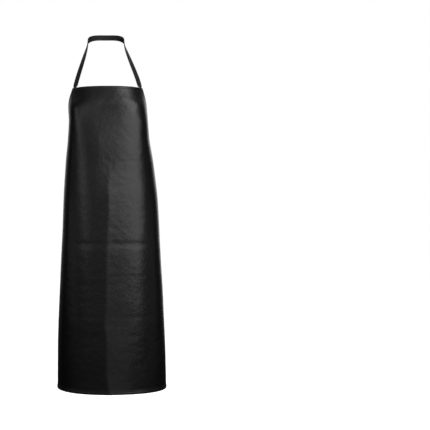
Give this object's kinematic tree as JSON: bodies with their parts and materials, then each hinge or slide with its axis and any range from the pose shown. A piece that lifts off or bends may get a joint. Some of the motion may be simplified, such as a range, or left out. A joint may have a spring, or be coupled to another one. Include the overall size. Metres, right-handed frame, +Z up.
{
  "type": "leather work apron",
  "caption": "Long black leather work apron in its worn form: bib and skirt in one panel with turned hems, neck strap, waist bands and plain clasp.",
  "frame": {"origin": "at the nape, on the inside of the neck strap's back stretch, in the middle of its width", "axes": "+Z up, -Y towards the front of the apron, +X to the right of a viewer who faces the front"},
  "size_m": [0.4002, 0.2603, 1.3016],
  "materials": {
    "leather": "smooth grained black leather with a soft gloss, plain black cloth backing",
    "strap": "flat black webbing",
    "clasp": "plain black"
  },
  "bodies": {
    "root": {"apron_panel": "leather", "neck_strap": "strap", "waist_strap_left": "strap", "waist_strap_right": "strap", "waist_clasp": "clasp"}
  },
  "joints": []
}
